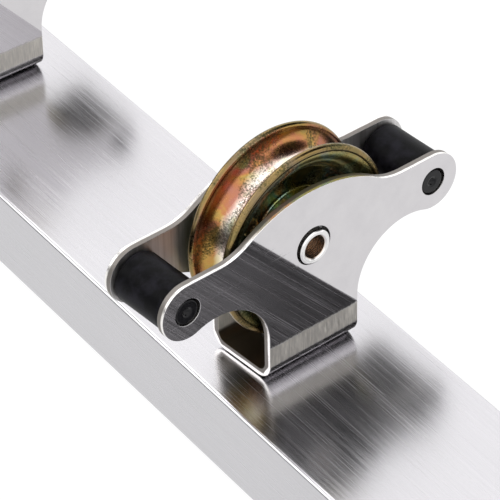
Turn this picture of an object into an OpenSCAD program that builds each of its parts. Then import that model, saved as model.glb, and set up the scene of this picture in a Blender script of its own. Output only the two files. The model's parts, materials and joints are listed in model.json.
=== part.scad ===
// Sliding barn door hardware: a box beam that carries two grooved-wheel carriages.
// X runs along the beam, Y across it and Z up.  The origin is the middle of the beam's underside.
// The wheels' axles lie along the beam, so the rails they run on cross it.

/* [Beam] */
// Length of the box beam
beam_len = 320; // [260:1:600]
// Width of the beam across the rails
beam_w = 51; // [40:0.5:80]
// Height of the beam
beam_h = 23; // [18:0.5:60]
// Wall of the beam
beam_wall = 1.5; // [1:0.1:3]
// Outside radius of the beam's long corners
beam_corner_r = 1.2; // [0.5:0.1:4]
// How far an end plug's flange covers the end of the tube
plug_flange = 2.5; // [1:0.5:5]
// How far an end plug reaches into the tube
plug_reach = 15; // [8:1:40]
// Gap all round between the plug and the inside of the tube
plug_gap = 0.1; // [0.05:0.05:0.5]

/* [Carriages] */
// Distance between the two carriages along the beam
carriage_spacing = 141.5; // [115:1:240]
// Angle at which the left carriage stands on its pivot
left_turn = 3; // [-20:0.5:20]
// Angle at which the right carriage stands on its pivot
right_turn = 5.5; // [-20:0.5:20]

/* [Bracket] */
// Thickness of the bracket's sheet
sheet = 2; // [1.5:0.1:3]
// Gap between the wheel's rims and the ear that it stands nearer to
wheel_side_gap = 1; // [0.5:0.1:3]
// Length of the foot across the beam
foot_len = 27.5; // [22:0.5:40]
// Inside radius of the two bends
bend_r = 2.5; // [1:0.1:4]
// Gap between the wheel and the pivot screw's head below it
wheel_under_gap = 3.2; // [1:0.1:8]
// Radius of the rounded wing tips
tip_r = 7.5; // [6:0.1:10]
// How far the top of the ear lies below a rail on the wheel
ear_drop = 2.3; // [0.5:0.1:6]
// Radius of the ear's big top arc
crown_r = 36; // [30:0.5:50]
// Radius of the hollow between the top arc and the wing
neck_r = 15.5; // [10:0.5:20]
// Radius of the hollow between the foot and the wing
arch_r = 15.5; // [10:0.5:17]

/* [Wheel] */
// Diameter over the wheel's two rims
wheel_d = 49.5; // [44:0.5:54]
// Radius of the rail groove
groove_r = 5.2; // [4.5:0.1:6.2]
// Thickness of the wheel's pressed sheet
wheel_sheet = 1.5; // [1:0.1:2]
// Radius of the bead that stiffens each rim
bead_r = 0.95; // [0.8:0.05:1.2]
// Thickness of the hub's inturned lip, which keeps the bearing in
hub_lip = 1.2; // [0.8:0.1:2]
// How far the hub's lip reaches in over the bearing's outer ring
hub_lip_reach = 1.2; // [0.6:0.1:1.3]
// Number of rivets that join the two halves
rivet_count = 3; // [3:1:8]
// Gap between a rivet's head and the hub or groove wall beside it
rivet_head_gap = 0.4; // [0.1:0.1:0.8]
// Diameter of a rivet's head for each millimetre of its shank
rivet_head_ratio = 1.6; // [1.3:0.1:2]
// Height of a rivet's heads
rivet_head_h = 0.9; // [0.5:0.1:1.5]

/* [Axle and bearing] */
// How far the wheel stands outward of the middle of its axle
wheel_float = 0.6; // [0:0.1:1]
// Outside diameter of the hollow axle
axle_d = 9; // [8:0.1:9.2]
// Bore of the hollow axle
axle_bore = 6; // [4:0.1:7]
// How far the axle stands out of each ear
axle_proud = 0.45; // [0:0.05:1]
// How much larger the ears' holes are than the axle
axle_play = 1.2; // [0.4:0.1:2]
// Angle from the bottom of the ears' holes at which the axle lies in them
axle_lean = 25; // [-60:5:60]
// Gap left between the axle and the ears' larger holes where it lies in them
axle_rest = 0.02; // [0.01:0.01:0.05]
// Outside diameter of the ball bearing
bearing_d = 20; // [18:0.5:22]
// Width of the ball bearing
bearing_w = 6; // [5:0.5:7]
// How far the shoulder of each bearing ring stands from the circle of ball centres
race_land = 1.25; // [1:0.05:1.6]
// Diameter of a bearing ball
ball_d = 3.5; // [3:0.1:3.8]
// Number of bearing balls
ball_count = 8; // [6:1:9]
// Gap between a ball and its races
ball_gap = 0.03; // [0.02:0.01:0.08]
// Radial thickness of the ball cage
cage_wall = 1; // [0.6:0.1:1.2]
// Gap between the ball cage and each shield
cage_side_gap = 0.5; // [0.2:0.1:1]
// Thickness of a bearing shield
shield_t = 0.3; // [0.2:0.05:0.4]
// Gap between a shield and the inner ring
shield_gap = 0.15; // [0.1:0.05:0.3]
// Gap between a spacer sleeve and its ear, on the side that the wheel stands nearer to
spacer_gap = 0.1; // [0.05:0.05:0.3]

/* [Side rollers] */
// Diameter of the rubber rollers
roller_d = 13.4; // [11:0.1:15]
// Gap between each roller and the wheel
wheel_roller_gap = 6.3; // [2:0.1:20]
// Gap between a roller and each ear
roller_gap = 0.4; // [0.3:0.1:1]
// Rounding of the rubber's ends
roller_round = 0.6; // [0.2:0.1:1.5]
// Diameter of a roller's pin
pin_d = 6.4; // [5:0.1:6.7]
// How much larger the ears' holes are than the pins
pin_play = 0.8; // [0.2:0.1:1.5]
// How far a pin's end lies below the ear's face
pin_recess = 0.4; // [0:0.1:0.8]
// Gap left under a pin where it lies in its larger hole
pin_rest = 0.1; // [0.05:0.05:0.15]
// Diameter of the centre mark in a pin's end
dimple_d = 2.4; // [1.5:0.1:3]

/* [Pivot] */
// Thickness of the thrust washer under the foot
washer_t = 0.25; // [0.2:0.05:1]
// Diameter of the thrust washer
washer_d = 11.5; // [10:0.5:16]
// Diameter of the pivot screw's shoulder
shoulder_d = 8; // [7:0.1:9]
// Radial running gap round the shoulder
shoulder_gap = 0.05; // [0.03:0.01:0.1]
// Vertical running gap above and below the foot
foot_gap = 0.05; // [0.03:0.01:0.1]
// Diameter of the pivot screw's thread
screw_d = 6; // [5:0.5:6.5]
// Gap between the pivot screw's head and each of the bracket's bends
head_side_gap = 0.1; // [0.1:0.1:2]
// Height of the pivot screw's head
head_h = 3.3; // [2.5:0.1:4]
// Width across the flats of the head's hexagon socket
socket_af = 4; // [3:0.5:5]
// Depth of the head's hexagon socket
socket_depth = 2; // [1:0.1:2.4]
// Diameter of the clinch nut's collar, which fills the hole in the beam
collar_d = 8.6; // [8.2:0.1:10]
// Diameter of the clinch nut's body inside the beam
nut_d = 11; // [10:0.1:14]
// Height of the clinch nut's body inside the beam
nut_h = 4; // [3:0.1:6]

/* [Hidden] */
$fn = 96;
left = -1;
right = 1;
front = -1;
back = 1;
outward = 1;
inward = -1;
cut = 1;                                             // how far a cutter runs past a face
nut_chamfer = 0.6;

// the wheel and its bearing
rim_r = wheel_d/2 - bead_r;                          // centre of a rim's bead, and of the groove
groove_out = groove_r + wheel_sheet;
rim_x = groove_r + wheel_sheet/2;
web_r = rim_r - groove_r;                            // bottom of the groove
hub_r = bearing_d/2 + wheel_sheet;
rivet_ring_r = (hub_r + web_r - wheel_sheet)/2;
rivet_head_d = web_r - wheel_sheet - hub_r - 2*rivet_head_gap;
rivet_d = rivet_head_d/rivet_head_ratio;
pitch_r = (axle_d + bearing_d)/4;                    // of the ring of balls
ball_space = ball_d/2 + ball_gap;
cage_w = bearing_w - 2*shield_t - 2*cage_side_gap;

// across the bracket
inner_w = 2*(rim_x + bead_r + wheel_side_gap + wheel_float);   // between the ears
bracket_w = inner_w + 2*sheet;
head_d = inner_w - 2*bend_r - 2*head_side_gap;
spacer_len = inner_w/2 - bearing_w/2 - spacer_gap - wheel_float;
axle_hole_d = axle_d + axle_play;
roller_hole_d = pin_d + pin_play;

// heights, measured from the underside of a carriage's foot
foot_z = beam_h + washer_t + foot_gap;               // of the foot itself, above the beam's underside
bend_out = bend_r + sheet;
axle_z = sheet + foot_gap + head_h + wheel_under_gap + wheel_d/2;
axle_drop = axle_play/2 - axle_rest;                 // from the middle of its holes
axle_y = axle_drop*sin(axle_lean);
hole_h = axle_z + axle_drop*cos(axle_lean);          // of the three hole centres
pin_z = hole_h - pin_play/2 + pin_rest;
ear_h = axle_z + web_r - ear_drop;

// the ear's outline
roller_span = wheel_d + 2*wheel_roller_gap + roller_d;
tip_z = hole_h + tip_r;
crown_z = ear_h - crown_r;
neck_z = tip_z + neck_r;
arch_reach = foot_len/2 + arch_r;                    // across to the centre of the arch's hollow
arch_z = hole_h - sqrt(pow(arch_r + tip_r, 2) - pow(roller_span/2 - arch_reach, 2));
neck_y = sqrt(pow(crown_r + neck_r, 2) - pow(neck_z - crown_z, 2));

// the pivot
shoulder_h = washer_t + sheet + 2*foot_gap;

// ---------- placing ----------

function turn(side) = side == left ? left_turn : right_turn;

// Stands a child on one carriage's pivot, with z = 0 at the underside of the foot.
module on_carriage(side) {
    translate([side*carriage_spacing/2, 0, foot_z])
        rotate([0, 0, turn(side)])
            children();
}

// Lays a shape that is turned about Z along the axle, at the given height and place across.
module on_axle(z, y = 0) {
    translate([0, y, z])
        rotate([0, 90, 0])
            children();
}

// Lays a shape along the axle at the middle of the wheel, which floats outward on it.
module on_hub(side) {
    on_carriage(side)
        on_axle(axle_z, axle_y)
            translate([0, 0, side*wheel_float])
                children();
}

module ring(r_out, r_in, h) {
    difference() {
        cylinder(r = r_out, h = h, center = true);
        cylinder(r = r_in, h = h + 2*cut, center = true);
    }
}

// ---------- beam ----------

// Rectangle with true round corners, centred.
module round_rect(w, h, r) {
    square([w - 2*r, h], center = true);
    square([w, h - 2*r], center = true);
    for (sx = [-1, 1], sy = [-1, 1])
        translate([sx*(w/2 - r), sy*(h/2 - r)])
            circle(r = r);
}

module along_beam(length, x_mid) {
    translate([x_mid, 0, beam_h/2])
        rotate([90, 0, 90])
            linear_extrude(height = length, center = true)
                children();
}

module beam_tube() {
    color("silver")
    difference() {
        along_beam(beam_len - 2*plug_flange, 0)
            round_rect(beam_w, beam_h, beam_corner_r);
        along_beam(beam_len, 0)
            square([beam_w - 2*beam_wall, beam_h - 2*beam_wall], center = true);
        for (side = [left, right])
            translate([side*carriage_spacing/2, 0, beam_h - beam_wall - cut])
                cylinder(d = collar_d, h = beam_wall + 2*cut);
    }
}

// Push-in plug: a flange over the tube's end and a hollow skirt inside it.
module end_plug(side) {
    skirt_w = beam_w - 2*beam_wall - 2*plug_gap;
    skirt_h = beam_h - 2*beam_wall - 2*plug_gap;
    color("dimgray")
    difference() {
        union() {
            along_beam(plug_flange, side*(beam_len - plug_flange)/2)
                round_rect(beam_w, beam_h, beam_corner_r);
            along_beam(plug_reach, side*(beam_len/2 - plug_flange - plug_reach/2))
                square([skirt_w, skirt_h], center = true);
        }
        along_beam(plug_reach, side*(beam_len/2 - plug_flange - plug_reach/2 - cut))
            square([skirt_w - 2*plug_flange, skirt_h - 2*plug_flange], center = true);
    }
}

// ---------- pivot ----------

// Pressed into the beam's top wall from inside, flush outside; it takes the pivot screw.
module clinch_nut(side) {
    body_z = beam_h - beam_wall - nut_h;
    color("lightgray")
    translate([side*carriage_spacing/2, 0, 0])
        difference() {
            union() {
                translate([0, 0, body_z + nut_chamfer])
                    cylinder(d = nut_d, h = nut_h - nut_chamfer);
                translate([0, 0, body_z])
                    cylinder(d1 = nut_d - 2*nut_chamfer, d2 = nut_d, h = nut_chamfer);
                translate([0, 0, beam_h - beam_wall])
                    cylinder(d = collar_d, h = beam_wall);
            }
            translate([0, 0, body_z - cut])
                cylinder(d = screw_d, h = nut_h + beam_wall + 2*cut);
        }
}

// Shoulder screw with a low round head: the bracket turns on its shoulder.
module pivot_screw(side) {
    color("gray")
    translate([side*carriage_spacing/2, 0, beam_h])
        difference() {
            union() {
                translate([0, 0, -beam_wall - nut_h])
                    cylinder(d = screw_d, h = beam_wall + nut_h);
                cylinder(d = shoulder_d, h = shoulder_h);
                intersection() {
                    translate([0, 0, shoulder_h])
                        cylinder(d = head_d, h = head_h);
                    translate([0, 0, shoulder_h + head_h - head_d*0.85])
                        sphere(r = head_d*0.85);
                }
            }
            translate([0, 0, shoulder_h + head_h - socket_depth])
                cylinder(d = socket_af/cos(30), h = socket_depth + cut, $fn = 6);
        }
}

module thrust_washer(side) {
    color("ivory")
    translate([side*carriage_spacing/2, 0, beam_h + washer_t/2])
        ring(washer_d/2, shoulder_d/2 + shoulder_gap, washer_t);
}

// ---------- bracket ----------

// The bottom of a channel with round corners, from z0 up to z0 + r.
module channel_floor(w, r, z0) {
    intersection() {
        union() {
            translate([-w/2 + r, z0])
                square([w - 2*r, r]);
            for (s = [-1, 1])
                translate([s*(w/2 - r), z0 + r])
                    circle(r = r);
        }
        translate([-w/2, z0])
            square([w, r]);
    }
}

// One side of the ear's outline, drawn with its corners at the centres of its hollows.
module half_ear() {
    polygon([
        [0, bend_out],
        [foot_len/2, bend_out],
        [foot_len/2, arch_z],
        [arch_reach, arch_z],
        [roller_span/2, hole_h],
        [roller_span/2, tip_z],
        [neck_y, tip_z],
        [neck_y, neck_z],
        [0, crown_z]
    ]);
    translate([roller_span/2, hole_h])
        circle(r = tip_r);
}

// The ear above the bends: a crown, two wings and a foot, joined by round hollows.
module ear_outline() {
    difference() {
        union() {
            half_ear();
            mirror([1, 0]) half_ear();
            intersection() {
                translate([0, crown_z]) circle(r = crown_r);
                polygon([[0, crown_z], [neck_y, neck_z], [-neck_y, neck_z]]);
            }
        }
        for (s = [-1, 1]) {
            translate([s*neck_y, neck_z]) circle(r = neck_r);
            translate([s*arch_reach, arch_z]) circle(r = arch_r);
        }
    }
}

// One piece of sheet: a foot with two ears bent up from it.
module bracket(side) {
    color("gainsboro")
    on_carriage(side)
        difference() {
            union() {
                rotate([90, 0, 0])
                    linear_extrude(height = foot_len, center = true)
                        difference() {
                            channel_floor(bracket_w, bend_out, 0);
                            channel_floor(inner_w, bend_r, sheet);
                        }
                for (s = [-1, 1])
                    translate([s*(bracket_w - sheet)/2, 0, 0])
                        rotate([90, 0, 90])
                            linear_extrude(height = sheet, center = true)
                                ear_outline();
            }
            on_axle(hole_h)
                cylinder(d = axle_hole_d, h = bracket_w + 2*cut, center = true);
            for (s = [front, back])
                on_axle(hole_h, s*roller_span/2)
                    cylinder(d = roller_hole_d, h = bracket_w + 2*cut, center = true);
            translate([0, 0, -cut])
                cylinder(d = shoulder_d + 2*shoulder_gap, h = sheet + 2*cut);
        }
}

// ---------- axle and bearing ----------

module axle_tube(side) {
    color("whitesmoke")
    on_carriage(side) on_axle(axle_z, axle_y)
        ring(axle_d/2, axle_bore/2, bracket_w + 2*axle_proud);
}

module hub_spacers(side) {
    color("lightgray")
    on_hub(side)
        for (s = [-1, 1])
            translate([0, 0, s*(bearing_w + spacer_len)/2])
                ring(pitch_r - race_land, axle_d/2, spacer_len);
}

module ball_race() {
    rotate_extrude()
        translate([pitch_r, 0])
            circle(r = ball_space);
}

module bearing_inner_ring(side) {
    color("lightsteelblue")
    on_hub(side)
        difference() {
            ring(pitch_r - race_land, axle_d/2, bearing_w);
            ball_race();
        }
}

module bearing_outer_ring(side) {
    color("lightsteelblue")
    on_hub(side)
        difference() {
            ring(bearing_d/2, pitch_r + race_land, bearing_w);
            ball_race();
        }
}

module bearing_shields(side) {
    color("silver")
    on_hub(side)
        for (s = [-1, 1])
            translate([0, 0, s*(bearing_w - shield_t)/2])
                ring(pitch_r + race_land, pitch_r - race_land + shield_gap, shield_t);
}

// Children stand at each ball's place round the axle.
module at_each_ball() {
    for (i = [0 : ball_count - 1])
        rotate([0, 0, i*360/ball_count])
            translate([pitch_r, 0, 0])
                children();
}

module bearing_balls(side) {
    color("gainsboro")
    on_hub(side)
        at_each_ball()
            sphere(d = ball_d);
}

module ball_cage(side) {
    color("goldenrod")
    on_hub(side)
        difference() {
            ring(pitch_r + cage_wall/2, pitch_r - cage_wall/2, cage_w);
            at_each_ball()
                rotate([0, 90, 0])
                    cylinder(r = ball_space, h = 2*cage_wall, center = true, $fn = 48);
        }
}

// ---------- wheel ----------

// Children stand at each rivet's place round the axle, the first one below it.
module at_each_rivet() {
    for (i = [0 : rivet_count - 1])
        rotate([0, 0, i*360/rivet_count])
            translate([rivet_ring_r, 0, 0])
                children();
}

// Section of one pressed half, radius across and axle up: hub cup, flat web, groove wall and bead.
module wheel_half_section() {
    translate([bearing_d/2, 0])
        square([wheel_sheet, bearing_w/2 + hub_lip]);
    translate([bearing_d/2 - hub_lip_reach, bearing_w/2])
        square([hub_lip_reach + wheel_sheet, hub_lip]);
    translate([bearing_d/2, 0])
        square([rim_r - groove_r - bearing_d/2 - wheel_sheet/2, wheel_sheet]);
    intersection() {
        translate([rim_r, 0])
            difference() {
                circle(r = groove_out);
                circle(r = groove_r);
            }
        translate([rim_r - groove_out, 0])
            square([groove_out, groove_out]);
    }
    translate([rim_r, rim_x])
        circle(r = bead_r);
}

module wheel_half(side, facing) {
    color("darkgoldenrod")
    on_hub(side)
        mirror([0, 0, facing*side > 0 ? 0 : 1])
            difference() {
                rotate_extrude()
                    wheel_half_section();
                at_each_rivet()
                    cylinder(d = rivet_d, h = 2*wheel_sheet + 2*cut, center = true);
            }
}

module wheel_rivets(side) {
    color("goldenrod")
    on_hub(side)
        at_each_rivet() {
            cylinder(d = rivet_d, h = 2*wheel_sheet, center = true);
            for (s = [-1, 1])
                translate([0, 0, s*(wheel_sheet + rivet_head_h/2)])
                    cylinder(d = rivet_head_d, h = rivet_head_h, center = true);
        }
}

// ---------- side rollers ----------

module roller_pin(side, across) {
    pin_len = bracket_w - 2*pin_recess;
    color("black")
    on_carriage(side) on_axle(pin_z, across*roller_span/2)
        difference() {
            cylinder(d = pin_d, h = pin_len, center = true);
            for (s = [-1, 1])
                translate([0, 0, s*pin_len/2])
                    rotate([s > 0 ? 180 : 0, 0, 0])
                        translate([0, 0, -cut])
                            cylinder(r1 = dimple_d/2 + cut, r2 = 0, h = dimple_d/2 + cut);
        }
}

module roller_sleeve(side, across) {
    sleeve_len = inner_w - 2*roller_gap;
    color("dimgray")
    on_carriage(side) on_axle(pin_z, across*roller_span/2)
        rotate_extrude()
            intersection() {
                round_rect(roller_d, sleeve_len, roller_round);
                translate([pin_d/2, -sleeve_len/2])
                    square([roller_d, sleeve_len]);
            }
}

// ---------- nodes ----------

beam_tube();
end_plug(left);  // left_end_plug
end_plug(right);  // right_end_plug
clinch_nut(left);  // left_clinch_nut
pivot_screw(left);  // left_pivot_screw
thrust_washer(left);  // left_thrust_washer
bracket(left);  // left_bracket
axle_tube(left);  // left_axle_tube
hub_spacers(left);  // left_hub_spacers
bearing_inner_ring(left);  // left_bearing_inner_ring
ball_cage(left);  // left_ball_cage
bearing_balls(left);  // left_bearing_balls
bearing_outer_ring(left);  // left_bearing_outer_ring
bearing_shields(left);  // left_bearing_shields
wheel_half(left, outward);  // left_wheel_outer_half
wheel_half(left, inward);  // left_wheel_inner_half
wheel_rivets(left);  // left_wheel_rivets
roller_pin(left, front);  // left_front_roller_pin
roller_sleeve(left, front);  // left_front_roller_sleeve
roller_pin(left, back);  // left_back_roller_pin
roller_sleeve(left, back);  // left_back_roller_sleeve
clinch_nut(right);  // right_clinch_nut
pivot_screw(right);  // right_pivot_screw
thrust_washer(right);  // right_thrust_washer
bracket(right);  // right_bracket
axle_tube(right);  // right_axle_tube
hub_spacers(right);  // right_hub_spacers
bearing_inner_ring(right);  // right_bearing_inner_ring
ball_cage(right);  // right_ball_cage
bearing_balls(right);  // right_bearing_balls
bearing_outer_ring(right);  // right_bearing_outer_ring
bearing_shields(right);  // right_bearing_shields
wheel_half(right, outward);  // right_wheel_outer_half
wheel_half(right, inward);  // right_wheel_inner_half
wheel_rivets(right);  // right_wheel_rivets
roller_pin(right, front);  // right_front_roller_pin
roller_sleeve(right, front);  // right_front_roller_sleeve
roller_pin(right, back);  // right_back_roller_pin
roller_sleeve(right, back);  // right_back_roller_sleeve
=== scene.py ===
import json
import math

import bmesh
import bpy
from mathutils import Matrix, Vector


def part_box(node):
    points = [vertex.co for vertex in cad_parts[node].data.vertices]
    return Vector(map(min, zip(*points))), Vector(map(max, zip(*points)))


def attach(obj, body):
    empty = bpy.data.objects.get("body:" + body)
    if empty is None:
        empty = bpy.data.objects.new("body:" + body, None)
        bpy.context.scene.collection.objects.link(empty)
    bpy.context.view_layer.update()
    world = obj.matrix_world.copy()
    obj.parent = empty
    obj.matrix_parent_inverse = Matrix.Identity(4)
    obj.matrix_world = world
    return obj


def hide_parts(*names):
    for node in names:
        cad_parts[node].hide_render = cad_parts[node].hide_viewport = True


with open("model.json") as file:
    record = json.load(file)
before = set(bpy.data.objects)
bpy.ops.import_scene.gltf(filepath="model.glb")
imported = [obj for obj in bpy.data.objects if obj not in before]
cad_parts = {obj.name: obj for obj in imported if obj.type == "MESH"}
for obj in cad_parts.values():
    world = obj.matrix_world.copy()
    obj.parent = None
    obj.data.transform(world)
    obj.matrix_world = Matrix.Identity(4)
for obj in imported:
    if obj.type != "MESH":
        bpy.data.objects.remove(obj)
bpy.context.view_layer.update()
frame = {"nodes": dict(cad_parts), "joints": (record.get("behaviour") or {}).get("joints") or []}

# ---------- the box beam ----------
# A rectangular stainless tube, rolled, welded and then brushed lengthwise on a belt.
# The belt leaves long fine lines, so the top mirrors what stands on it as a soft smear,
# crossed by the few grains of grit that cut deeper.


class Wire:
    """A shader socket that takes Python's operators: each one adds a Math node."""

    def __init__(self, tree, socket):
        self.tree, self.socket = tree, socket

    def math(self, operation, *values):
        return node(self.tree, "ShaderNodeMath", {"operation": operation},
                    dict(enumerate(values)))

    def __add__(self, other): return self.math("ADD", self, other)
    def __sub__(self, other): return self.math("SUBTRACT", self, other)
    def __mul__(self, other): return self.math("MULTIPLY", self, other)
    def __radd__(self, other): return self.math("ADD", other, self)
    def __rsub__(self, other): return self.math("SUBTRACT", other, self)
    def __rmul__(self, other): return self.math("MULTIPLY", other, self)
    def __abs__(self): return self.math("ABSOLUTE", self)


def node(tree, kind, settings=None, sockets=None, out=0):
    """Adds a node: its settings first, then the value or link of each socket."""
    made = tree.nodes.new(kind)
    for key, value in (settings or {}).items():
        if key == "stops":
            ramp = made.color_ramp
            while len(ramp.elements) < len(value):
                ramp.elements.new(0.5)
            for stop, (place, colour) in zip(ramp.elements, value):
                stop.position = place
                stop.color = (*colour, 1)
        else:
            setattr(made, key, value)
    for key, value in (sockets or {}).items():
        if isinstance(value, Wire):
            tree.links.new(value.socket, made.inputs[key])
        else:
            made.inputs[key].default_value = value
    return Wire(tree, made.outputs[out])


class Finish:
    """A material with one main shader. What varies is fed in; what doesn't is set on it."""

    def __init__(self, name, **constants):
        self.material = bpy.data.materials.new(name)
        self.material.use_nodes = True
        self.tree = self.material.node_tree
        self.shader = self.tree.nodes["Principled BSDF"]
        for key, value in constants.items():
            self.shader.inputs[key.replace("_", " ")].default_value = value

    def node(self, kind, settings=None, sockets=None, out=0):
        return node(self.tree, kind, settings, sockets, out)

    def feed(self, **wires):
        for key, wire in wires.items():
            self.tree.links.new(wire.socket, self.shader.inputs[key.replace("_", " ")])

    def place(self, stretch=(1, 1, 1)):
        """Object coordinates, stretched."""
        here = self.node("ShaderNodeTexCoord", out=3)
        return self.node("ShaderNodeVectorMath", {"operation": "MULTIPLY"}, {0: here, 1: stretch})

    def own(self, name):
        """A number or vector that the piece's mesh carries."""
        return self.node("ShaderNodeAttribute", {"attribute_name": name}, out=2)

    def own_axes(self, name, stretch=(1, 1, 1)):
        """The piece's own place vector, stretched."""
        place = self.node("ShaderNodeAttribute", {"attribute_name": name}, out=1)
        return self.node("ShaderNodeVectorMath", {"operation": "MULTIPLY"}, {0: place, 1: stretch})

    def axis(self, place, index):
        return self.node("ShaderNodeSeparateXYZ", {}, {0: place}, out=index)

    def noise(self, place, detail, rough, distort=0.0):
        """Noise whose grain is set by how far the place is stretched."""
        return self.node("ShaderNodeTexNoise", {}, {"Vector": place, "Scale": 1.0,
                         "Detail": detail, "Roughness": rough, "Distortion": distort})

    def ramp(self, fac, low, high, to_low=0.0, to_high=1.0):
        return self.node("ShaderNodeMapRange", {"clamp": True},
                         {0: fac, 1: low, 2: high, 3: to_low, 4: to_high})

    def shades(self, fac, *stops):
        """A run of colours along a value."""
        return self.node("ShaderNodeValToRGB", {"stops": stops}, {0: fac})

    def blend(self, fac, first, second):
        return self.node("ShaderNodeMix", {"data_type": "RGBA", "clamp_factor": True},
                         {0: fac, 6: first, 7: second}, out=2)

    def bump(self, height, depth):
        return self.node("ShaderNodeBump", {}, {"Height": height, "Distance": depth})


def rgb(r, g, b):
    return (r, g, b, 1.0)


def mark_creases(shape, crease):
    for face in shape.faces:
        face.smooth = True
    for edge in shape.edges:
        edge.smooth = not (len(edge.link_faces) == 2
                           and edge.calc_face_angle(0) > math.radians(crease))


def dress(piece, material):
    piece.data.materials.clear()
    piece.data.materials.append(material)
    return piece


def worked(name, source, body, finish, bevel=0.0, segments=2, crease=30.0):
    """A solid's mesh, merged, its flats cleaned, its sharp edges broken and its curves smooth."""
    made = bpy.data.objects.new(name, frame["nodes"][source].data.copy())
    bpy.context.scene.collection.objects.link(made)
    if "custom_normal" in made.data.attributes:
        made.data.attributes.remove(made.data.attributes["custom_normal"])
    shape = bmesh.new()
    shape.from_mesh(made.data)
    bmesh.ops.remove_doubles(shape, verts=shape.verts, dist=2e-6)
    bmesh.ops.dissolve_limit(shape, angle_limit=math.radians(0.5),
                             verts=shape.verts, edges=shape.edges)
    if bevel:
        sharp = [e for e in shape.edges if len(e.link_faces) == 2
                 and e.calc_face_angle(0) > math.radians(crease)]
        bmesh.ops.bevel(shape, geom=sharp, offset=bevel, segments=segments,
                        profile=0.5, affect="EDGES", clamp_overlap=True)
    mark_creases(shape, crease)
    shape.to_mesh(made.data)
    shape.free()
    if bevel:
        flat = made.modifiers.new("flats stay flat", "WEIGHTED_NORMAL")
        flat.weight = 100
        flat.keep_sharp = True
    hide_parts(source)
    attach(made, body)
    return dress(made, finish.material)


def brushed_steel(name, low, high, depth, gloss, grit_gloss):
    """Belt-brushed stainless: long lines along X, a few of them deeper and duller."""
    made = Finish(name, Metallic=1.0)
    lines = made.noise(made.place((14, 1500, 1500)), 3.0, 0.6)
    fine = made.noise(made.place((50, 6000, 6000)), 2.0, 0.6)
    grit = made.ramp(made.noise(made.place((24, 5200, 5200)), 2.0, 0.5), 0.60, 0.70)
    cloud = made.noise(made.place((30, 60, 60)), 3.0, 0.55)
    tone = made.blend(made.ramp(lines * 0.6 + cloud * 0.4, 0.35, 0.65), low, high)
    made.feed(Base_Color=tone,
              Roughness=made.ramp(lines * 0.7 + cloud * 0.3, 0.3, 0.7, *gloss) + grit * grit_gloss,
              Normal=made.bump(lines * 0.5 + fine * 0.5 + grit * 0.5, depth))
    return made


beam_steel = brushed_steel("beam_brushed", rgb(0.535, 0.528, 0.545), rgb(0.565, 0.557, 0.575),
                           0.0000015, (0.16, 0.26), 0.14)
worked("beam_tube_brushed", "beam_tube", "beam", beam_steel)

# ---------- end plugs ----------
# Black plastic mouldings that close the beam's ends. Each is pushed in up to its flange
# and held by friction; the mould's spark-eroded face leaves a fine grain on the flange.

moulded = Finish("moulded_black")
grain = moulded.noise(moulded.place((2600, 2600, 2600)), 3.0, 0.6)
flow = moulded.noise(moulded.place((60, 90, 90)), 3.0, 0.5)
moulded.feed(Base_Color=moulded.blend(moulded.ramp(flow, 0.3, 0.7),
                                      rgb(0.016, 0.016, 0.018), rgb(0.03, 0.03, 0.032)),
             Roughness=moulded.ramp(grain, 0.3, 0.7, 0.42, 0.58),
             Normal=moulded.bump(grain, 0.00003))
SIDES = ("left", "right")
for side in SIDES:
    worked(f"{side}_end_plug_moulded", f"{side}_end_plug", "beam", moulded,
           bevel=0.0003, segments=3)

# ---------- clinch nuts, washers and pivot screws ----------
# A zinc-plated nut is pressed into the beam's top from inside. A shoulder screw goes through
# a nylon washer and the bracket's foot into it, so the carriage can swivel on the shoulder.


def plated(name, low, high, scale, gloss):
    """A plated or ground metal: faint cloudy colour, fine specks and a soft gloss."""
    made = Finish(name, Metallic=1.0)
    cloud = made.noise(made.place((scale, scale, scale)), 4.0, 0.6)
    speck = made.noise(made.place((9000, 9000, 9000)), 2.0, 0.5)
    made.feed(Base_Color=made.blend(made.ramp(cloud, 0.35, 0.65), low, high),
              Roughness=made.ramp(cloud * 0.6 + speck * 0.4, 0.3, 0.7, *gloss),
              Normal=made.bump(speck, 0.000006))
    return made


clear_zinc = plated("clear_zinc", rgb(0.50, 0.52, 0.55), rgb(0.62, 0.62, 0.62), 420, (0.2, 0.36))
TURNED_EDGE, THIN_EDGE = 0.0001, 0.00004
nylon = Finish("natural_nylon", Subsurface_Weight=0.15)
milk = nylon.noise(nylon.place((700, 700, 700)), 3.0, 0.5)
nylon.feed(Base_Color=nylon.blend(nylon.ramp(milk, 0.3, 0.7),
                                  rgb(0.70, 0.67, 0.60), rgb(0.80, 0.78, 0.72)),
           Roughness=nylon.ramp(milk, 0.3, 0.7, 0.35, 0.5))
for side in SIDES:
    worked(f"{side}_clinch_nut_plated", f"{side}_clinch_nut", "beam", clear_zinc,
           bevel=TURNED_EDGE)
    worked(f"{side}_thrust_washer_punched", f"{side}_thrust_washer", "beam", nylon,
           bevel=THIN_EDGE)
    worked(f"{side}_pivot_screw_turned", f"{side}_pivot_screw", "beam", clear_zinc,
           bevel=TURNED_EDGE)

# ---------- brackets ----------
# One blank of bright stainless sheet, punched out and folded into a U: a foot and two winged ears.
# The film-covered faces stay mirror bright, and the cut edges show a burnished and a torn band.

SHEET_T, FOLD_R = 0.002, 0.0045
TURN = {}
PIVOT = {}
for joint in frame["joints"]:
    for side in SIDES:
        if joint["name"] == f"{side}_carriage_swivel":
            PIVOT[side] = Vector(joint["pos_m"])
        if joint["name"] == f"{side}_wheel_spin":
            TURN[side] = math.atan2(joint["axis"][1], joint["axis"][0])


def in_carriage(side, point):
    """A point in a carriage's own directions: along its axle, across and up from the foot."""
    return Matrix.Rotation(-TURN[side], 3, "Z") @ (Vector(point) - PIVOT[side])


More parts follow.
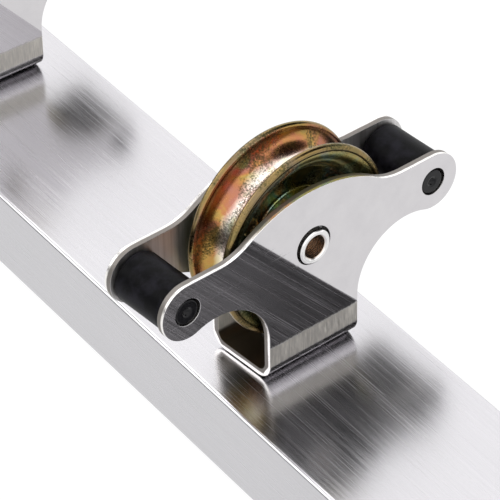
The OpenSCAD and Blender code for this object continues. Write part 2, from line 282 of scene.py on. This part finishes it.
def mark_sheet(piece, side, sheet, bend):
    """Records where each point lies, how deep in the sheet it is, and which faces are cut edges."""
    mesh = piece.data
    spots = [in_carriage(side, v.co) for v in mesh.vertices]
    half = max(abs(s.x) for s in spots)
    straight = half - bend
    for name, kind, on in (("spot", "FLOAT_VECTOR", "POINT"), ("deep", "FLOAT", "POINT"),
                           ("cut_edge", "FLOAT", "FACE")):
        mesh.attributes.new(name, kind, on)
    place, deep, cut = [mesh.attributes[name] for name in ("spot", "deep", "cut_edge")]
    for i, s in enumerate(spots):
        place.data[i].vector = s
        if abs(s.x) < straight:
            down = s.z
        elif s.z < bend:
            down = bend - math.hypot(abs(s.x) - straight, s.z - bend)
        else:
            down = half - abs(s.x)
        deep.data[i].value = down / sheet
    for face in mesh.polygons:
        facing = Matrix.Rotation(-TURN[side], 3, "Z") @ face.normal
        middle = in_carriage(side, face.center)
        on_ear = middle.z > bend and abs(facing.x) < 0.5
        on_foot = middle.z <= bend and abs(facing.y) > 0.7
        cut.data[face.index].value = 1.0 if on_ear or on_foot else 0.0


bright = Finish("bright_sheet", Metallic=1.0)
spot = bright.own_axes("spot")
sideways, height = bright.axis(spot, 1), bright.axis(spot, 2)
rolling = bright.noise(bright.own_axes("spot", (900, 28, 1500)), 3.0, 0.6)
scratch = bright.ramp(bright.noise(bright.own_axes("spot", (900, 30, 3200)), 1.0, 0.5), 0.67, 0.74)
rubbed = bright.ramp(bright.noise(bright.own_axes("spot", (900, 3200, 260)), 3.0, 0.7), 0.44, 0.68)
handled = bright.noise(bright.place((160, 160, 160)), 4.0, 0.6)
low_down = bright.ramp(height + rubbed * 0.0006, 0.0108, 0.0100) * bright.ramp(height, 0.0038, 0.0048)
mill_side = bright.ramp(bright.own("deep"), 0.6, 0.9)
draw_lines = bright.noise(bright.own_axes("spot", (300, 900, 22)), 3.0, 0.6)
cut = bright.own("cut_edge")
torn = bright.ramp(bright.own("deep") + handled * 0.3, 0.42, 0.58)
tears = bright.noise(bright.own_axes("spot", (1500, 3800, 3800)), 3.0, 0.7)
face_tone = bright.blend(bright.ramp(handled, 0.3, 0.7),
                         rgb(0.585, 0.570, 0.585), rgb(0.625, 0.610, 0.622))
edge_tone = bright.blend(torn, rgb(0.86, 0.84, 0.81), rgb(0.20, 0.185, 0.17))
# Painted shade: the inner (mill) faces turn dark brown towards the foot, where the U between the ears lies
# in shade.
painted_low_shade = bright.ramp(height + handled * 0.008, 0.022, 0.012)
dull_tone = bright.blend(bright.ramp(draw_lines, 0.3, 0.7),
                         rgb(0.46, 0.45, 0.44), rgb(0.68, 0.665, 0.66))
# The mill side's drawn grain, with the painted shade of the foot's recess mixed in low down.
mill_tone = bright.blend(mill_side, face_tone, bright.blend(painted_low_shade, dull_tone, rgb(0.10, 0.08, 0.055)))
rub_tone = bright.blend(rubbed, rgb(0.53, 0.51, 0.47), rgb(0.73, 0.70, 0.64))
die_tone = bright.blend(low_down, mill_tone, rub_tone)
worn = scratch * 0.12 + low_down * (0.36 + rubbed * 0.2) + mill_side * (0.28 + draw_lines * 0.18)
bright.feed(Base_Color=bright.blend(cut, die_tone, edge_tone),
            Roughness=(bright.ramp(rolling * 0.6 + handled * 0.4, 0.3, 0.7, 0.018, 0.04) + worn) * (1 - cut)
            + cut * (0.22 + torn * 0.25),
            Normal=bright.bump((rolling * 0.06 + scratch * 0.2 + mill_side * draw_lines * 2.0
                                + rubbed * low_down * 4.0) * (1 - cut) * 0.25
                               + cut * tears * 2.0, 0.000010))
for side in SIDES:
    bracket = worked(f"{side}_bracket_folded", f"{side}_bracket", f"{side}_carriage", bright,
                     bevel=0.00014)
    mark_sheet(bracket, side, SHEET_T, FOLD_R)

# ---------- hollow axles ----------
# Cut from bright drawn tube and chamfered in the lathe at both ends, inside and out.
# Each lies loose in the larger holes of its two ears.


def spun(name, outline, side, centre, body, finish, stands_for, steps=128, crease=30.0):
    """Turns a closed outline of (along, radius) points in mm into a ring round a carriage's axle."""
    along = Vector((math.cos(TURN[side]), math.sin(TURN[side]), 0))
    across = Vector((-along.y, along.x, 0))
    shape = bmesh.new()
    place = shape.verts.layers.float_vector.new("turned")
    rings = []
    for step in range(steps):
        angle = 2 * math.pi * step / steps
        out = across * math.cos(angle) + Vector((0, 0, math.sin(angle)))
        ring = []
        for u, r in outline:
            vertex = shape.verts.new(centre + along * (u / 1000) + out * (r / 1000))
            vertex[place] = (u / 1000, r / 1000, 0)
            ring.append(vertex)
        rings.append(ring)
    count = len(outline)
    for a, b in zip(rings, rings[1:] + rings[:1]):
        for i in range(count):
            j = (i + 1) % count
            shape.faces.new((a[i], a[j], b[j], b[i]))
    bmesh.ops.recalc_face_normals(shape, faces=shape.faces)
    mark_creases(shape, crease)
    mesh = bpy.data.meshes.new(name)
    shape.to_mesh(mesh)
    shape.free()
    made = bpy.data.objects.new(name, mesh)
    bpy.context.scene.collection.objects.link(made)
    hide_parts(stands_for)
    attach(made, body)
    return dress(made, finish.material)


def middle_of(source):
    low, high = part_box(source)
    return (low + high) / 2


def size_along(side, source):
    """(half length along the axle, largest radius about it) of a round solid, in mm."""
    centre = middle_of(source)
    spots = [Matrix.Rotation(-TURN[side], 3, "Z") @ (v.co - centre)
             for v in frame["nodes"][source].data.vertices]
    return (max(abs(s.x) for s in spots) * 1000,
            max(math.hypot(s.y, s.z) for s in spots) * 1000)


drawn = Finish("drawn_tube", Metallic=1.0)
turned = drawn.own_axes("turned")
radius = drawn.axis(turned, 1)
tool = drawn.noise(drawn.own_axes("turned", (2500, 9000, 0)), 2.0, 0.5)
inside = drawn.ramp(radius, 0.00325, 0.00305)
soot = drawn.noise(drawn.place((500, 500, 500)), 3.0, 0.6)
drawn.feed(Base_Color=drawn.blend(inside * drawn.ramp(soot, 0.3, 0.6, 0.5, 1.0),
                                  rgb(0.74, 0.735, 0.73), rgb(0.60, 0.49, 0.40)),
           Roughness=drawn.ramp(tool, 0.3, 0.7, 0.12, 0.24) + inside * 0.08,
           Normal=drawn.bump(tool, 0.000008))
AXLE_R, BORE_R, OUT_CHAMFER, BORE_CHAMFER = 4.5, 3.0, 0.3, 0.35
for side in SIDES:
    half = size_along(side, f"{side}_axle_tube")[0]
    end = [(half - OUT_CHAMFER, AXLE_R), (half - 0.08, AXLE_R - OUT_CHAMFER + 0.06),
           (half, AXLE_R - OUT_CHAMFER - 0.08), (half, BORE_R + BORE_CHAMFER + 0.08),
           (half - 0.08, BORE_R + BORE_CHAMFER - 0.04), (half - BORE_CHAMFER, BORE_R)]
    outline = end + [(-u, r) for u, r in reversed(end)]
    spun(f"{side}_axle_tube_chamfered", outline, side, middle_of(f"{side}_axle_tube"),
         f"{side}_carriage", drawn, f"{side}_axle_tube", steps=96, crease=20)

# ---------- spacers and the ball bearing ----------
# Turned sleeves hold the bearing's inner ring in its place along the axle. The ground rings run
# on eight balls in a brass cage, and pressed shields close both sides.

ground = plated("ground_steel", rgb(0.56, 0.56, 0.575), rgb(0.64, 0.64, 0.645), 900, (0.1, 0.2))
brass = plated("cage_brass", rgb(0.60, 0.42, 0.16), rgb(0.74, 0.56, 0.27), 500, (0.25, 0.4))
for side in SIDES:
    worked(f"{side}_hub_spacers_turned", f"{side}_hub_spacers", f"{side}_carriage", clear_zinc,
           bevel=TURNED_EDGE)
    worked(f"{side}_inner_ring_ground", f"{side}_bearing_inner_ring", f"{side}_carriage", ground,
           bevel=TURNED_EDGE)
    worked(f"{side}_outer_ring_ground", f"{side}_bearing_outer_ring", f"{side}_wheel", ground,
           bevel=TURNED_EDGE)
    worked(f"{side}_shields_pressed", f"{side}_bearing_shields", f"{side}_wheel", ground,
           bevel=THIN_EDGE)
    worked(f"{side}_ball_cage_drilled", f"{side}_ball_cage", f"{side}_ball_set", brass)


def set_round(name, item, count, first_turn, side, centre, body, finish, stands_for):
    """Repeats an item, modelled round the X axis, about a carriage's axle with Geometry Nodes."""
    tree = bpy.data.node_groups.new(name + "_ring", "GeometryNodeTree")
    face = tree.interface
    face.new_socket("Item", in_out="INPUT", socket_type="NodeSocketGeometry")
    inputs = {"Count": face.new_socket("Count", in_out="INPUT", socket_type="NodeSocketInt"),
              "First turn": face.new_socket("First turn", in_out="INPUT", socket_type="NodeSocketFloat"),
              "Finish": face.new_socket("Finish", in_out="INPUT", socket_type="NodeSocketMaterial")}
    face.new_socket("Ring", in_out="OUTPUT", socket_type="NodeSocketGeometry")
    given = tree.nodes.new("NodeGroupInput")
    item_in, count_in, turn_in, finish_in = [Wire(tree, given.outputs[i]) for i in range(4)]
    spots = node(tree, "GeometryNodeMeshLine", {"mode": "OFFSET"},
                 {"Count": count_in, "Offset": (0, 0, 0)})
    order = node(tree, "GeometryNodeInputIndex")
    share = node(tree, "ShaderNodeMath", {"operation": "DIVIDE"}, {0: order, 1: count_in})
    angle = share * (2 * math.pi) + turn_in
    spin = node(tree, "ShaderNodeCombineXYZ", {}, {0: angle})
    placed = node(tree, "GeometryNodeInstanceOnPoints", {},
                  {"Points": spots, "Instance": item_in, "Rotation": spin})
    solid = node(tree, "GeometryNodeRealizeInstances", {}, {0: placed})
    painted = node(tree, "GeometryNodeSetMaterial", {}, {"Geometry": solid, "Material": finish_in})
    result = tree.nodes.new("NodeGroupOutput")
    tree.links.new(painted.socket, result.inputs[0])

    holder = bpy.data.objects.new(name + "_item", item)
    bpy.context.scene.collection.objects.link(holder)
    modifier = holder.modifiers.new("ring", "NODES")
    modifier.node_group = tree
    modifier[inputs["Count"].identifier] = count
    modifier[inputs["First turn"].identifier] = first_turn
    modifier[inputs["Finish"].identifier] = finish.material
    graph = bpy.context.evaluated_depsgraph_get()
    mesh = bpy.data.meshes.new_from_object(holder.evaluated_get(graph), depsgraph=graph)
    holder.modifiers.remove(modifier)
    bpy.data.objects.remove(holder)
    mesh.transform(Matrix.Translation(centre) @ Matrix.Rotation(TURN[side], 4, "Z"))
    made = bpy.data.objects.new(name, mesh)
    bpy.context.scene.collection.objects.link(made)
    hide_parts(stands_for)
    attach(made, body)
    return dress(made, finish.material)


BALL_R, BALL_RING_R, BALLS = 1.75, 7.25, 8
polished = plated("polished_ball", rgb(0.64, 0.64, 0.65), rgb(0.72, 0.72, 0.73), 1500, (0.04, 0.09))
for side in SIDES:
    ball = bmesh.new()
    bmesh.ops.create_icosphere(ball, subdivisions=4, radius=BALL_R / 1000,
                               matrix=Matrix.Translation((0, 0, BALL_RING_R / 1000)))
    mark_creases(ball, 30)
    ball_mesh = bpy.data.meshes.new("ball")
    ball.to_mesh(ball_mesh)
    ball.free()
    set_round(f"{side}_balls_polished", ball_mesh, BALLS, 0.0, side,
              middle_of(f"{side}_bearing_balls"), f"{side}_ball_set", polished,
              f"{side}_bearing_balls")

# ---------- wheels ----------
# Two steel pressings back to back: a hub cup, a flat web, a half-round groove wall and a rolled
# rim. Yellow zinc passivate gives them a shot, iridescent skin, from gold to copper and green.
# Over it, the groove carries a painted highlight and patches of painted dark reflection.

HUB_IN, HUB_OUT, HUB_LIP_R, HUB_END, HUB_LIP = 10.0, 11.5, 8.8, 4.2, 1.2
GROOVE_CENTRE_R, GROOVE_R, PRESSED_T, RIM_BEAD_R = 23.8, 5.2, 1.5, 0.95


def arc(along, radius, r, start, end, steps):
    """Points on an arc of the outline, its angles in degrees from the axle's direction."""
    return [(along + r * math.cos(math.radians(start + (end - start) * i / steps)),
             radius + r * math.sin(math.radians(start + (end - start) * i / steps)))
            for i in range(steps + 1)]


def wheel_outline():
    """Section of one pressing, going up the groove, over the rim and down the outer face."""
    outer_r = GROOVE_R + PRESSED_T
    bead = GROOVE_R + PRESSED_T / 2
    web_meets = -math.degrees(math.acos((PRESSED_T + 0.6) / outer_r))
    wall = arc(0, GROOVE_CENTRE_R, outer_r, -6, web_meets, 16)
    foot_u, foot_r = wall[-1]
    fillet = arc(foot_u + 0.05, foot_r - 0.75, 0.65, 100, 175, 4)
    return (arc(0, GROOVE_CENTRE_R, GROOVE_R, -90, -8, 18)
            + arc(bead, GROOVE_CENTRE_R + 0.06, RIM_BEAD_R - 0.03, 205, -75, 14)
            + wall
            + fillet
            + [(PRESSED_T, HUB_OUT + 1.0)]
            + arc(PRESSED_T + 0.8, HUB_OUT + 0.8, 0.8, 180, 270, 5)
            + arc(HUB_END - 0.9, HUB_OUT - 0.9, 0.9, 90, 0, 6)
            + [(HUB_END, HUB_LIP_R + 0.15), (HUB_END - 0.15, HUB_LIP_R),
               (HUB_END - HUB_LIP, HUB_LIP_R), (HUB_END - HUB_LIP, HUB_IN), (0, HUB_IN)])


zinc = Finish("yellow_zinc", Metallic=1.0)
skin = zinc.own_axes("turned")
along, radius = zinc.axis(skin, 0), zinc.axis(skin, 1)
pool = zinc.noise(zinc.place((150, 150, 150)), 3.0, 0.55, 0.6)
film = zinc.noise(zinc.place((70, 70, 70)), 2.0, 0.5, 0.8)
speckle = zinc.noise(zinc.place((2300, 2300, 2300)), 2.0, 0.65)
spatter = zinc.ramp(zinc.noise(zinc.place((1700, 1700, 1700)), 3.0, 0.75), 0.42, 0.56)
# Painted reflection: large dark zones stand in for dark surroundings mirrored in the zinc.
painted_dark_reflection_zones = zinc.ramp(zinc.noise(zinc.place((105, 105, 105)), 2.0, 0.5, 0.4) + speckle * 0.35,
                    0.655, 0.76)
hue = zinc.ramp(pool * 0.5 + film * 0.5, 0.34, 0.66)
# Painted highlight: the groove's bed gets near-white colours so its middle shines bright, and the walls
# around it are kept darker.
bed_tone_painted_highlight = zinc.shades(hue, (0.0, (0.66, 0.72, 0.44)), (0.25, (0.86, 0.84, 0.60)),
                       (0.45, (0.95, 0.88, 0.78)), (0.7, (0.92, 0.72, 0.66)), (1.0, (0.72, 0.72, 0.44)))
wall_tone = zinc.shades(hue, (0.0, (0.24, 0.22, 0.08)), (0.3, (0.44, 0.26, 0.07)),
                        (0.55, (0.42, 0.17, 0.08)), (0.8, (0.40, 0.17, 0.13)), (1.0, (0.26, 0.26, 0.12)))
rim_tone = zinc.shades(hue, (0.0, (0.12, 0.12, 0.05)), (0.5, (0.26, 0.18, 0.07)),
                       (1.0, (0.20, 0.15, 0.09)))
# From the painted highlight in the middle of the groove out to the darker walls.
flank = zinc.ramp(abs(along) + pool * 0.003, 0.0024, 0.0044)
groove_tone = zinc.blend(zinc.ramp(abs(along), 0.0049, 0.0054),
                         zinc.blend(flank, bed_tone_painted_highlight, wall_tone), rim_tone)
web_tone = zinc.shades(hue, (0.0, (0.20, 0.24, 0.12)), (0.3, (0.34, 0.27, 0.08)),
                       (0.55, (0.28, 0.31, 0.12)), (0.75, (0.18, 0.28, 0.24)), (1.0, (0.52, 0.22, 0.06)))
from_groove = radius - GROOVE_CENTRE_R / 1000
reach = along * along + from_groove * from_groove
in_web = (zinc.ramp(reach, (GROOVE_R / 1000 + 0.0003) ** 2, (GROOVE_R / 1000 + 0.0010) ** 2)
          * zinc.ramp(radius + pool * 0.001, 0.0240, 0.0222))
tone = zinc.blend(in_web, groove_tone, web_tone)
# Dark patches: the zinc's own fine specks, shown only inside the large zones of painted dark reflection.
specks_and_painted_reflection = painted_dark_reflection_zones * spatter
zinc.feed(Base_Color=zinc.blend(specks_and_painted_reflection * 0.8, tone, rgb(0.035, 0.045, 0.02)),
          Roughness=zinc.ramp(pool * 0.4 + speckle * 0.6, 0.3, 0.7, 0.15, 0.29) + specks_and_painted_reflection * 0.2,
          Normal=zinc.bump(speckle * 0.6 + pool * 0.6 - specks_and_painted_reflection * 0.5, 0.00003))
for side in SIDES:
    hub = middle_of(f"{side}_bearing_outer_ring")
    outward = 1 if side == "right" else -1
    for half_name, way in (("outer", outward), ("inner", -outward)):
        outline = [(way * u, r) for u, r in wheel_outline()]
        spun(f"{side}_wheel_{half_name}_half_pressed", outline, side, hub, f"{side}_wheel", zinc,
             f"{side}_wheel_{half_name}_half", steps=160, crease=35)

# ---------- rivets ----------
# Three semi-tubular rivets join the two pressings between the hub and the groove.
# They are passivated with the wheel, and their heads are set by a domed punch.

RIVETS, SHANK_R, HEAD_R, HEAD_H, HEAD_SEAT = 3, 1.5, 2.4, 0.9, 1.5
RIVET_RING_R = 14.3
DOME = [(HEAD_SEAT, SHANK_R), (HEAD_SEAT, HEAD_R - 0.1), (HEAD_SEAT + 0.12, HEAD_R),
        (HEAD_SEAT + 0.35, HEAD_R - 0.08), (HEAD_SEAT + 0.62, HEAD_R - 0.42),
        (HEAD_SEAT + 0.82, HEAD_R - 1.0), (HEAD_SEAT + HEAD_H, HEAD_R - 1.6),
        (HEAD_SEAT + HEAD_H - 0.3, HEAD_R - 1.95)]


def rivet_mesh(steps=24):
    """A rivet standing on the ring's radius, its axis along X, closed at both ends."""
    outline = [(-u, r) for u, r in reversed(DOME)] + DOME
    shape = bmesh.new()
    rings = []
    for u, r in outline:
        rings.append([shape.verts.new((u / 1000, r / 1000 * math.cos(2 * math.pi * i / steps),
                                       (RIVET_RING_R + r * math.sin(2 * math.pi * i / steps)) / 1000))
                      for i in range(steps)])
    for a, b in zip(rings, rings[1:]):
        for i in range(steps):
            j = (i + 1) % steps
            shape.faces.new((a[i], a[j], b[j], b[i]))
    for ring in (rings[0], rings[-1]):
        shape.faces.new(ring)
    bmesh.ops.recalc_face_normals(shape, faces=shape.faces)
    mark_creases(shape, 40)
    mesh = bpy.data.meshes.new("rivet")
    shape.to_mesh(mesh)
    shape.free()
    return mesh


rivet_zinc = plated("rivet_zinc", rgb(0.46, 0.40, 0.16), rgb(0.72, 0.48, 0.28), 260, (0.2, 0.34))
for side in SIDES:
    set_round(f"{side}_rivets_set", rivet_mesh(), RIVETS, math.pi, side,
              middle_of(f"{side}_bearing_outer_ring"), f"{side}_wheel", rivet_zinc,
              f"{side}_wheel_rivets")

# ---------- side rollers ----------
# Black rubber sleeves, ground to size on their moulded black pins. They turn between the wing
# tips of the bracket, before and behind the wheel, and lie well below a rail in the groove.

rubber = Finish("ground_rubber", Specular_IOR_Level=0.06)
# Painted sheen: a violet-grey mottle in the black base colour stands in for the rubber's soft sheen. The
# same mottle also varies the roughness.
painted_sheen_mottle = rubber.noise(rubber.place((240, 240, 240)), 4.0, 0.6)
wheel_marks = rubber.noise(rubber.own_axes("turned", (4200, 0, 0)), 3.0, 0.6)
crumb = rubber.noise(rubber.place((5200, 5200, 5200)), 2.0, 0.6)
rubber.feed(Base_Color=rubber.blend(rubber.ramp(painted_sheen_mottle, 0.42, 0.68),
                                    rgb(0.0010, 0.0010, 0.0015), rgb(0.010, 0.0095, 0.0135)),
            Roughness=rubber.ramp(painted_sheen_mottle * 0.5 + crumb * 0.5, 0.3, 0.7, 0.34, 0.55),
            Normal=rubber.bump(wheel_marks * 0.5 + crumb * 0.5, 0.00004))
pin_black = Finish("pin_black", Specular_IOR_Level=0.22)
mark = pin_black.noise(pin_black.place((1800, 1800, 1800)), 3.0, 0.6)
pin_black.feed(Base_Color=pin_black.blend(pin_black.ramp(mark, 0.3, 0.7),
                                          rgb(0.0012, 0.0012, 0.002), rgb(0.004, 0.004, 0.005)),
               Roughness=pin_black.ramp(mark, 0.3, 0.7, 0.10, 0.2),
               Normal=pin_black.bump(mark, 0.00002))
SLEEVE_BORE_R, EDGE_R, WAIST = 3.2, 0.6, 0.06
for side in SIDES:
    for which in ("front", "back"):
        source = f"{side}_{which}_roller_sleeve"
        half, around = size_along(side, source)
        corner = arc(half - EDGE_R, around - EDGE_R, EDGE_R, 0, 90, 5)
        barrel = [(half * t, around - WAIST * (1 - t * t)) for t in (0.75, 0.5, 0.25, 0.0)]
        face = [(half - 0.25, SLEEVE_BORE_R), (half, SLEEVE_BORE_R + 0.25)]
        upper = face + corner + barrel
        outline = upper + [(-u, r) for u, r in reversed(upper[:-1])]
        spun(f"{source}_ground", outline, side, middle_of(source), f"{side}_{which}_roller",
             rubber, source, steps=96, crease=40)
        worked(f"{side}_{which}_roller_pin_moulded", f"{side}_{which}_roller_pin",
               f"{side}_{which}_roller", pin_black, bevel=0.00035, segments=4)

# ---------- floor, light and camera ----------
# A plain white sweep under a large white tent with two soft lamps behind its cloth. The tent
# has an open side, a seam and a low strip of dark room beyond, for bright metal to mirror.

floor_mesh = bpy.data.meshes.new("floor")
FLOOR_HALF, FLOOR_DROP = 8, 0.0005
floor_corners = [(-FLOOR_HALF, -FLOOR_HALF, 0), (FLOOR_HALF, -FLOOR_HALF, 0),
                 (FLOOR_HALF, FLOOR_HALF, 0), (-FLOOR_HALF, FLOOR_HALF, 0)]
floor_mesh.from_pydata(floor_corners, [], [(0, 1, 2, 3)])
floor = bpy.data.objects.new("floor", floor_mesh)
bpy.context.scene.collection.objects.link(floor)
floor.location.z = -FLOOR_DROP
white = Finish("floor_white", Base_Color=rgb(0.12, 0.12, 0.12), Roughness=0.95,
               Emission_Color=rgb(1, 1, 1), Emission_Strength=0.90)
white.shader.inputs["Specular IOR Level"].default_value = 0.0
floor_mesh.materials.append(white.material)

world = bpy.data.worlds.new("studio")
bpy.context.scene.world = world
world.use_nodes = True
sky = world.node_tree
toward = node(sky, "ShaderNodeTexCoord", out=0)


def patch(azimuth, elevation, outer, inner):
    """1 inside a round patch of the tent and 0 outside it, from its radii in degrees."""
    a, e = math.radians(azimuth), math.radians(elevation)
    middle = (math.cos(a) * math.cos(e), math.sin(a) * math.cos(e), math.sin(e))
    facing = node(sky, "ShaderNodeVectorMath", {"operation": "DOT_PRODUCT"}, {0: toward, 1: middle}, out=1)
    return node(sky, "ShaderNodeMapRange", {"clamp": True, "interpolation_type": "SMOOTHSTEP"},
                {0: facing, 1: math.cos(math.radians(outer)), 2: math.cos(math.radians(inner)),
                 3: 0.0, 4: 1.0})


rise = node(sky, "ShaderNodeSeparateXYZ", {}, {0: toward}, out=2)
room = node(sky, "ShaderNodeMapRange", {"clamp": True, "interpolation_type": "SMOOTHSTEP"},
            {0: rise, 1: 0.30, 2: 0.16, 3: 0.0, 4: 1.0})
open_side = patch(76, 38, 31, 27)
room_side = room * patch(-135, 0, 75, 45)
tent_gap = patch(-158, 46, 10, 5)
lamps = patch(-136, 34, 18, 8) + patch(176, 55, 17, 8)
TENT_LIGHT, OPEN_SIDE_LOSS, LAMP_LIGHT = 1.5, 1.485, 1.6
glow = ((TENT_LIGHT - OPEN_SIDE_LOSS * open_side + lamps * LAMP_LIGHT)
        * (1 - room_side * 0.9) * (1 - tent_gap * 0.85))
seen = node(sky, "ShaderNodeLightPath", out=0)
background = sky.nodes["Background"]
sky.links.new((glow * (1 - seen) + TENT_LIGHT * seen).socket, background.inputs["Strength"])
background.inputs["Color"].default_value = rgb(1, 0.995, 1.0)

camera_data = bpy.data.cameras.new("camera")
camera = bpy.data.objects.new("camera", camera_data)
bpy.context.scene.collection.objects.link(camera)
bpy.context.scene.camera = camera
camera_data.sensor_width = 36
camera_data.lens = 239.5
camera_data.clip_end = 100
stand = Vector((0.5800, -0.3560, 0.5245))
forward = Vector((-0.6572, 0.4468, -0.6070)).normalized()
right = forward.cross(Vector((0, 0, 1))).normalized()
upward = right.cross(forward)
roll = math.radians(-1.06)
across = right * math.cos(roll) + upward * math.sin(roll)
over = upward * math.cos(roll) - right * math.sin(roll)
camera.matrix_world = Matrix.Translation(stand) @ Matrix((across, over, -forward)).transposed().to_4x4()

bpy.context.scene.view_settings.view_transform = "Standard"
